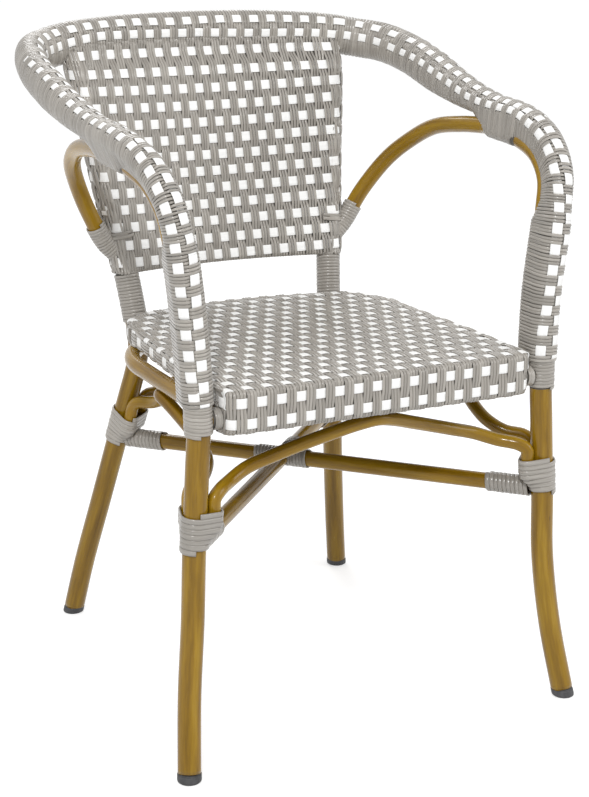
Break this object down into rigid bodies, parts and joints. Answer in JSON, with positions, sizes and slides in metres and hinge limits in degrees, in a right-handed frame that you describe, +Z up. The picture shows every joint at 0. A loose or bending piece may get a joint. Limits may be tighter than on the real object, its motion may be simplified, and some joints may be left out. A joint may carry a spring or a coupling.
{
  "type": "woven bistro armchair",
  "caption": "Stacking bistro armchair: bent bamboo-look tube frame with woven seat, arms and back, arched braces under the seat and crossed stretchers with wound bindings",
  "frame": {"origin": "on the floor, in the middle of the chair's box", "axes": "+Z up, -Y to the front where the seat's front edge faces, +X to the right as seen from the front; left and right in node names are as seen from the front"},
  "size_m": [0.5684, 0.5842, 0.804],
  "materials": {
    "frame": "golden brown bamboo-look paint with darker streaks and knots, satin",
    "weave": "warm grey synthetic rattan strands with white strands woven through",
    "caps": "dark grey moulded foot caps"
  },
  "bodies": {
    "root": {"hoop_tube": "frame", "rear_leg_left": "frame", "rear_leg_right": "frame", "seat_ring": "frame", "front_seat_rail": "frame", "seat_frame": "frame", "back_bottom_rail": "frame", "arm_brace_left": "frame", "arm_brace_right": "frame", "front_arch": "frame", "rear_arch": "frame", "side_arch_left": "frame", "side_arch_right": "frame", "stretcher_through": "frame", "stretcher_half_front": "frame", "stretcher_half_rear": "frame", "foot_cap_front_left": "caps", "foot_cap_front_right": "caps", "foot_cap_rear_left": "caps", "foot_cap_rear_right": "caps", "seat_weave": "weave", "top_rail_weave": "weave", "back_weave": "weave", "arm_weave_left": "weave", "arm_binding_left": "weave", "arm_bend_weave_left": "weave", "arm_post_weave_left": "weave", "front_post_wrap_left": "weave", "back_post_wrap_left": "weave", "brace_end_wrap_left": "weave", "leg_binding_front_left": "weave", "leg_binding_rear_left": "weave", "stretcher_wrap_front_left": "weave", "stretcher_wrap_rear_left": "weave", "arm_weave_right": "weave", "arm_binding_right": "weave", "arm_bend_weave_right": "weave", "arm_post_weave_right": "weave", "front_post_wrap_right": "weave", "back_post_wrap_right": "weave", "brace_end_wrap_right": "weave", "leg_binding_front_right": "weave", "leg_binding_rear_right": "weave", "stretcher_wrap_front_right": "weave", "stretcher_wrap_rear_right": "weave", "crossing_wrap": "weave", "crossing_wrap_short": "weave"}
  },
  "joints": []
}
